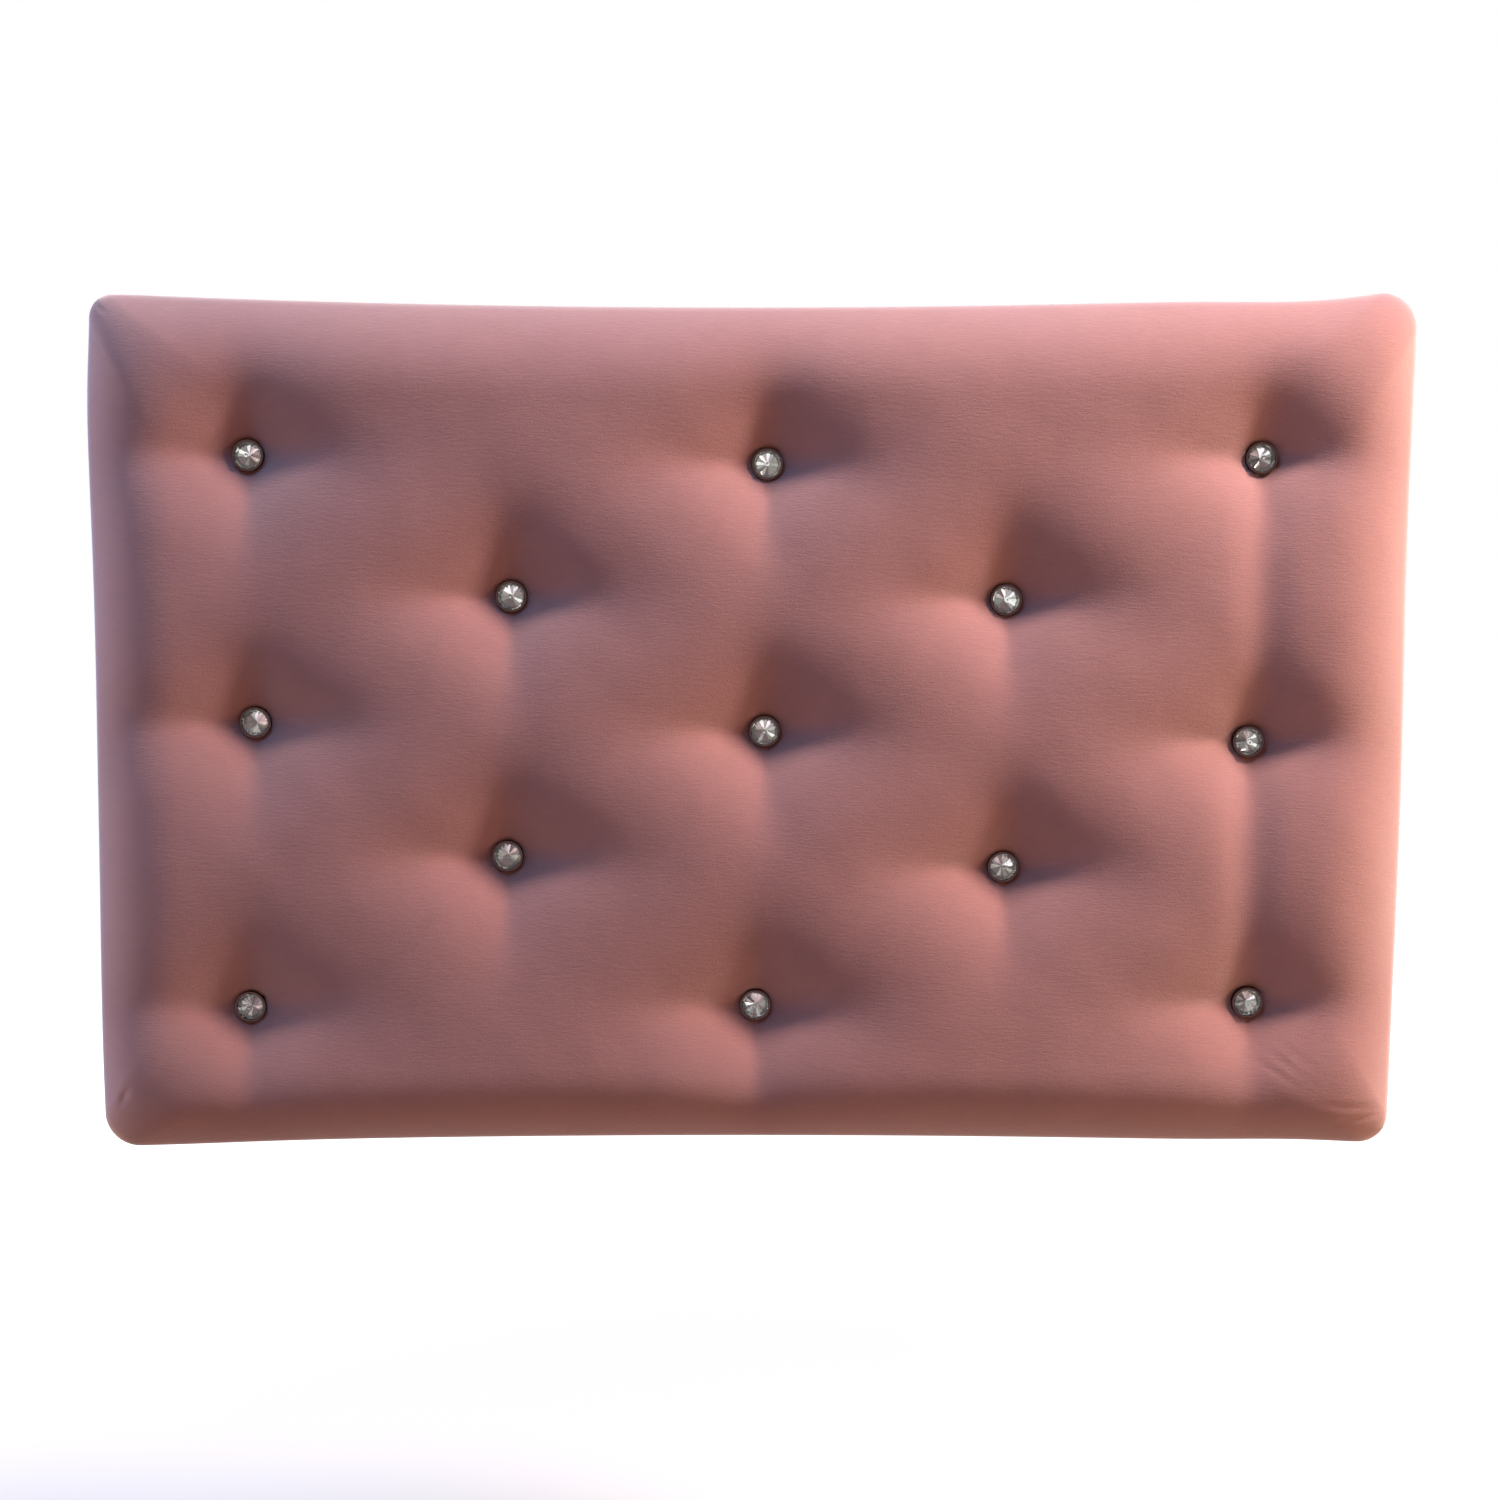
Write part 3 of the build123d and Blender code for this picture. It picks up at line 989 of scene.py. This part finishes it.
def make_cups(material):
    profile = list(cup_profile())
    points, faces = [], []
    for centre in buttons:
        start = len(points)
        for high, r in profile:
            ring = circle(r, high, cup_steps)
            points += [(centre.x + x, -h, centre.z + z) for x, h, z in ring]
        for row in range(len(profile) - 1):
            for i in range(cup_steps):
                after = (i + 1) % cup_steps
                one, other = start + row * cup_steps, start + (row + 1) * cup_steps
                faces.append([one + i, other + i, other + after, one + after])
    return make_object("button_cups_turned", points, faces, material)


# The cup's dark maroon colours are a painted reflection of the shaded velvet round it.
cup_metal = make_metal(
    "cup_metal_painted_reflection", (0.085, 0.045, 0.042), (0.040, 0.022, 0.020),
    size=1.2 * mm, amount=0.3, spread=0.25, least=0.28,
)
cups = make_cups(cup_metal)
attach(cups, "root")
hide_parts("button_cups")
print("cups have", len(cups.data.polygons), "faces")

# %% [markdown]
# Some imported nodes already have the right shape: the board, the tee nuts, the wire eyes and the
# twine. They keep their meshes, and only the material on each mesh is changed.

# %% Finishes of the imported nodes
ring_scale = (3.0, 60.0, 40.0)


def make_plywood():
    material, tree, shader = new_material("bare_plywood")
    place = add_node(tree, "ShaderNodeTexCoord").outputs["Object"]
    bent = add_node(tree, "ShaderNodeMapping", {"Vector": place, "Scale": ring_scale})
    rings = add_node(tree, "ShaderNodeTexWave", {
        "Vector": bent.outputs[0], "Scale": 1.0, "Distortion": 6.0, "Detail": 3.0,
    }, bands_direction="Z")
    fibres = use_group(tree, grain_group, Along=30 * mm, Across=0.6 * mm, Detail=4.0)
    tone = compute(tree, "MULTIPLY", rings.outputs[1], fibres["Tone"])
    set_colour(tree, shader, tone, (0.40, 0.27, 0.14), (0.62, 0.47, 0.29))
    set_inputs(shader, Roughness=0.7)
    add_bump(tree, shader, fibres["Height"], 0.3 * mm, 0.4)
    return material


def make_zinc(name, light, dark):
    return make_metal(name, light, dark, size=2.5 * mm, amount=0.35, spread=0.3, least=0.28)


def make_twine():
    material, tree, shader = new_material("waxed_twine")
    ply = use_group(tree, grain_group, Along=0.6 * mm, Across=2.0 * mm, Detail=2.0)
    set_colour(tree, shader, ply["Tone"], (0.55, 0.49, 0.36), (0.78, 0.73, 0.60))
    set_inputs(shader, Roughness=0.6)
    add_bump(tree, shader, ply["Height"], 0.3 * mm, 0.8)
    return material


finishes = {
    "back_board": make_plywood(),
    "tee_nuts": make_zinc("zinc_plate", (0.66, 0.65, 0.60), (0.40, 0.40, 0.38)),
    "button_eyes": make_zinc("steel_wire", (0.55, 0.55, 0.55), (0.30, 0.29, 0.28)),
}
twine = make_twine()
finishes.update({name: twine for name in frame["nodes"] if name.startswith("tuft_twine_")})
for name, material in finishes.items():
    mesh = frame["nodes"][name].data
    mesh.materials.clear()
    mesh.materials.append(material)
print("finished", len(finishes), "packed nodes")

# %% [markdown]
# The back is closed with a thin black lining, its edge turned under and stapled every few
# centimetres. A real lining lies a little slack, so it has shallow puckers between the
# staples. It is a fine grid of quads. At each of the four bolts the quads inside the hole are
# dropped, and the points round it are moved onto the hole's circle.

# %% Lining
staple_pitch = 38 * mm
staple_inset = 6 * mm
hem_w = 11 * mm
hem_t = 0.35 * mm
bolt_clear_r = 6 * mm
snap_share = 0.75
bolt_mount = next(m for m in frame["record"]["mounts"] if m["kind"] == "bolt_pattern")
bolt_x = bolt_mount["dims"]["spacing_x_mm"] * mm / 2
bolt_z = bolt_mount["dims"]["spacing_y_mm"] * mm / 2
bolts = [(x, z) for x in (-bolt_x, bolt_x) for z in (-bolt_z, bolt_z)]
lining_w = lining_high.x - lining_low.x
lining_h = lining_high.z - lining_low.z
lining_y = cover_high.y
lining_step = 3 * mm
lining_clear = 0.25 * mm
hem_fade = 1 * mm
pucker_deep = 0.18 * mm
pucker_reach = 18 * mm
slack_deep = 0.25 * mm
slack_reach = 20 * mm
slack_lumps = [(1.0, 110 * mm, 11), (0.5, 38 * mm, 12)]


def make_lining(material):
    columns = round(lining_w / lining_step)
    rows = round(lining_h / lining_step)
    u, v = np.meshgrid(np.linspace(-1, 1, columns + 1), np.linspace(-1, 1, rows + 1))
    x, z = u.ravel() * lining_w / 2, v.ravel() * lining_h / 2
    up = draw_in(x, z)
    to_edge = np.minimum(lining_w / 2 - np.abs(x), lining_h / 2 - np.abs(z))
    along = np.where(lining_w / 2 - np.abs(x) < lining_h / 2 - np.abs(z), z, x)
    pucker = np.cos(2 * math.pi * along / staple_pitch) * np.exp(-((to_edge / pucker_reach) ** 2))
    slack = sum(share * soft_noise(x, up, size, seed) for share, size, seed in slack_lumps)
    hem = hem_t * np.clip((hem_w - to_edge) / hem_fade, 0, 1)
    hang = slack_deep * (1 + slack) * np.clip(to_edge / slack_reach, 0, 1)
    y = lining_y + lining_clear + hem + pucker_deep * (1 - pucker) + hang
    points = np.stack([x, y, up], 1)
    index = np.arange(len(x)).reshape(rows + 1, columns + 1)
    corners = [index[:-1, :-1], index[1:, :-1], index[1:, 1:], index[:-1, 1:]]
    quads = np.stack([c.ravel() for c in corners], 1)
    for bolt in np.array(bolts):
        middle = points[quads].mean(1)
        quads = quads[np.hypot(*(middle[:, ::2] - bolt).T) > bolt_clear_r]
        out = points[:, ::2] - bolt
        away = np.hypot(*out.T)
        near = (away < bolt_clear_r + snap_share * lining_step) & (away > 0)
        points[near, ::2] = bolt + out[near] * bolt_clear_r / away[near, None]
    used = np.unique(quads)
    renumber = np.zeros(len(points), int)
    renumber[used] = np.arange(len(used))
    return make_object("lining", points[used], renumber[quads], material)


def make_lining_cloth():
    material, tree, shader = new_material("black_lining_cloth")
    bonds = use_group(tree, grain_group, Along=1.4 * mm, Across=1.4 * mm, Detail=1.0)
    fluff = use_group(tree, mottle_group, Size=14 * mm, Contrast=1.8)
    tone = compute(tree, "MULTIPLY", bonds["Tone"], fluff["Tone"])
    set_colour(tree, shader, tone, (0.012, 0.012, 0.014), (0.055, 0.055, 0.060))
    set_inputs(shader, Roughness=0.85, Sheen_Weight=0.15, Sheen_Roughness=0.5)
    add_bump(tree, shader, bonds["Height"], 0.2 * mm, 0.5)
    return material


lining = make_lining(make_lining_cloth())
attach(lining, "root")
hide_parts("back_lining")
print("lining has", len(lining.data.polygons), "faces")

# %% [markdown]
# Each staple is a flat bar of wire with its two ends bent into the board. One small outline is
# repeated round the lining's edge, and each copy sits a touch off true, as a hand-held gun
# leaves it.

# %% Staples
staple_w = 10 * mm
staple_wire = 1.1 * mm
staple_thick = 0.6 * mm
staple_leg = 3 * mm
staple_bend = 0.7 * mm
staple_top = lining_y + lining_clear + hem_t + 2 * pucker_deep + staple_thick
off_turn = 6
off_along = 1.5 * mm
off_across = 0.8 * mm
staple_seed = 5


def staple_outline():
    """The staple from its side, as along and depth: its outer line and its inner one."""
    half, lines = staple_w / 2, []
    for thick in (0, staple_thick):
        line, r = [(thick - half, -staple_leg)], staple_bend - thick
        for sign, turns in ((-1, np.linspace(180, 90, 4)), (1, np.linspace(90, 0, 4))):
            for turn in np.radians(turns):
                along = sign * (half - staple_bend) + r * math.cos(turn)
                line.append((along, -staple_bend + r * math.sin(turn)))
        lines.append(line + [(half - thick, -staple_leg)])
    return lines


def staple_places():
    """Place and direction of each staple round the lining."""
    wide, high = lining_w / 2 - staple_inset, lining_h / 2 - staple_inset
    across = round(2 * wide / staple_pitch)
    up = round(2 * high / staple_pitch)
    for i in range(across):
        for side in (-1, 1):
            yield (2 * (i + 0.5) / across - 1) * wide, side * high, 0.0
    for i in range(up):
        for side in (-1, 1):
            yield side * wide, (2 * (i + 0.5) / up - 1) * high, 90.0


def make_staples(material):
    outer, inner = staple_outline()
    loop = outer + inner[::-1]
    n, m = len(outer), len(loop)
    wire = [(along, side * staple_wire, deep) for side in (-0.5, 0.5) for along, deep in loop]
    around = [(i, (i + 1) % m, m + (i + 1) % m, m + i) for i in range(m)]
    for i in range(n - 1):
        a, b, c, d = i, i + 1, m - 2 - i, m - 1 - i
        around += [(d, c, b, a), (m + a, m + b, m + c, m + d)]
    rng = np.random.default_rng(staple_seed)
    points, faces = [], []
    for x, z, turn in staple_places():
        angle = math.radians(turn + rng.uniform(-off_turn, off_turn))
        cos, sin = math.cos(angle), math.sin(angle)
        x, z = x + rng.uniform(-1, 1) * off_along, z + rng.uniform(-1, 1) * off_across
        up = float(draw_in(np.array(x), np.array(z)))
        faces += [[len(points) + k for k in face] for face in around]
        for along, across, deep in wire:
            out, high = along * cos - across * sin, along * sin + across * cos
            points.append((x + out, staple_top + deep, up + high))
    return make_object("lining_staples", points, faces, material, smooth=False)


staples = make_staples(make_zinc("staple_wire", (0.62, 0.62, 0.62), (0.38, 0.38, 0.38)))
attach(staples, "root")
print("staples have", len(staples.data.polygons), "faces")

# %% [markdown]
# The light is a small lamp to the upper right, only a little in front of the panel. It rakes
# across the tufts and throws the shadow of each crown into its pit. A weaker, warmer one
# further to the right lights the roll on that side. A broad, cool lamp to the upper left, like
# a window, fills the shadows that face up, a weak one lights the left edge, and one behind
# shows the back in other views. Only the first lamp may show as a glint, so the crystals don't
# mirror coloured discs. What the camera, a gloss or a glass sees of the world is plain white,
# which the Light Path node keeps apart from the weak ambient light.

# %% Lamps and world
pad_middle = Vector((0, front_y, mid_z))
# Each lamp: its name, place, size in metres, power in watts and colour.
lamps = [
    ("key_lamp", (1.28, -0.455, 1.62), 0.3, 72.0, (1.0, 0.805, 0.765)),
    ("warm_lamp", (1.9, -0.35, 0.1), 1.0, 20.0, (1.0, 0.60, 0.38)),
    ("sky_lamp", (-0.9, -0.7, 2.3), 1.6, 53.0, (0.11, 0.44, 1.0)),
    ("side_lamp", (-2.4, 0.05, 0.4), 1.2, 27.0, (1.0, 0.76, 0.70)),
    ("back_lamp", (-0.9, 2.2, 1.3), 1.5, 30.0, (1.0, 0.96, 0.92)),
]
world_colour = (1.0, 0.3, 0.1, 1)
world_strength = 0.03
plain_white = (1, 1, 1, 1)


def add_lamp(name, place, size, power, colour):
    """A round area lamp that shines at the middle of the panel. Only the key lamp glints."""
    data = bpy.data.lights.new(name, "AREA")
    data.shape = "DISK"
    data.size = size
    data.energy = power
    data.color = colour
    lamp = bpy.data.objects.new(name, data)
    lamp.location = place
    lamp.rotation_euler = (pad_middle - Vector(place)).to_track_quat("-Z", "Y").to_euler()
    glints = name == "key_lamp"
    lamp.visible_glossy = glints
    lamp.visible_transmission = glints
    bpy.context.scene.collection.objects.link(lamp)


def seen_directly(tree):
    """1 for what the camera, a gloss or a glass sees, and 0 for all other light."""
    path = add_node(tree, "ShaderNodeLightPath").outputs
    seen = compute(tree, "MAXIMUM", path["Is Camera Ray"], path["Is Glossy Ray"])
    return compute(tree, "MAXIMUM", seen, path["Is Transmission Ray"])


def mix_shaders(tree, factor, low, high):
    """The shader low where factor is 0, and high where it is 1."""
    inputs = {0: factor, 1: low.outputs[0], 2: high.outputs[0]}
    return add_node(tree, "ShaderNodeMixShader", inputs).outputs[0]


for lamp in lamps:
    add_lamp(*lamp)

world = bpy.data.worlds.new("studio")
bpy.context.scene.world = world
world.use_nodes = True
sky = world.node_tree
sky.nodes.clear()
seen = seen_directly(sky)
ambient = add_node(sky, "ShaderNodeBackground", {"Color": world_colour, "Strength": world_strength})
white = add_node(sky, "ShaderNodeBackground", {"Color": plain_white, "Strength": 1.0})
add_node(sky, "ShaderNodeOutputWorld", {"Surface": mix_shaders(sky, seen, ambient, white)})
bpy.context.scene.view_settings.view_transform = "Standard"
print("the light comes from", len(lamps), "lamps and a weak ambient glow")

# %% [markdown]
# The panel is held up by its bed struts, so the floor lies well below it. It is a plain pale
# sheet that belongs to the stage and not to the object. To the camera it glows as white as the
# background far away and less near the panel, so the panel's shadow still shows on it. Other
# rays meet a matt floor with a faint warm glow, which lights the underside of the roll as the
# photograph shows it.

# %% Floor
floor_drop = 0.45
floor_half = 6.0
shadow_near = 0.7
shadow_far = 1.9
shadow_glow = 0.42
floor_matt = (0.5, 0.5, 0.5, 1)
floor_tone = (0.28, 0.27, 0.26, 1)
floor_warmth = (1.0, 0.30, 0.02, 1)
floor_warm_glow = 0.14


def make_floor():
    material, tree, shader = new_material("pale_floor")
    set_inputs(
        shader, Base_Color=floor_tone, Roughness=0.9,
        Emission_Color=floor_warmth, Emission_Strength=floor_warm_glow,
    )
    place = add_node(tree, "ShaderNodeTexCoord").outputs["Object"]
    flat = add_node(tree, "ShaderNodeVectorMath", {0: place, 1: (1, 1, 0)}, operation="MULTIPLY")
    away = add_node(tree, "ShaderNodeVectorMath", {0: flat.outputs[0]}, operation="LENGTH")
    glow = add_node(tree, "ShaderNodeMapRange", {
        "Value": away.outputs["Value"], "From Min": shadow_near, "From Max": shadow_far,
        "To Min": shadow_glow, "To Max": 1.0,
    }, interpolation_type="SMOOTHSTEP").outputs[0]
    white = add_node(tree, "ShaderNodeEmission", {"Color": plain_white, "Strength": glow})
    matt = add_node(tree, "ShaderNodeBsdfDiffuse", {"Color": floor_matt})
    both = add_node(tree, "ShaderNodeAddShader", {0: white.outputs[0], 1: matt.outputs[0]})
    mixed = mix_shaders(tree, seen_directly(tree), shader, both)
    out = next(n for n in tree.nodes if n.type == "OUTPUT_MATERIAL")
    tree.links.new(mixed, out.inputs["Surface"])
    floor_z = cad_low.z - floor_drop
    corners = [(-1, -1), (1, -1), (1, 1), (-1, 1)]
    points = [(x * floor_half, y * floor_half, floor_z) for x, y in corners]
    return make_object("floor", points, [[0, 1, 2, 3]], material, smooth=False)


make_floor()

print("CAD box", [round(c, 4) for c in (*cad_low, *cad_high)])
